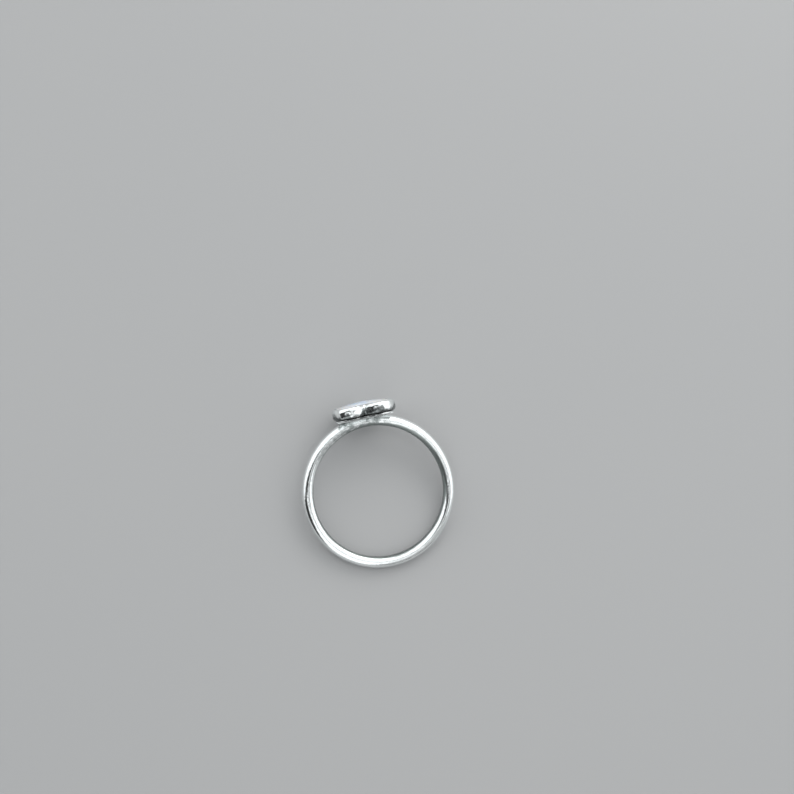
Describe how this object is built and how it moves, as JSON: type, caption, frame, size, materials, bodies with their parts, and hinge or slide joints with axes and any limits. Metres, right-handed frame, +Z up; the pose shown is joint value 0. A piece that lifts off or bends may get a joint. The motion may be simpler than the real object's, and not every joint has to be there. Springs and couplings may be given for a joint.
{
  "type": "silver ring with a heart-shaped bezel and stone",
  "caption": "Slim round-wire finger ring with a heart-shaped cup setting that holds a domed milky stone, lying on its side.",
  "frame": {"origin": "centre of the lying ring's footprint, on the surface that it rests on", "axes": "+Z up; +Y from the far side of the band to the heart; +X across the heart's lobes; the finger hole leans from +Z towards -Y"},
  "size_m": [0.0208, 0.0226, 0.008],
  "materials": {
    "silver": "polished silver with fine scratches",
    "stone": "polished, milky and translucent, with a faint blue sheen"
  },
  "bodies": {
    "root": {"band_and_bezel": "silver", "heart_stone": "stone"}
  },
  "joints": []
}
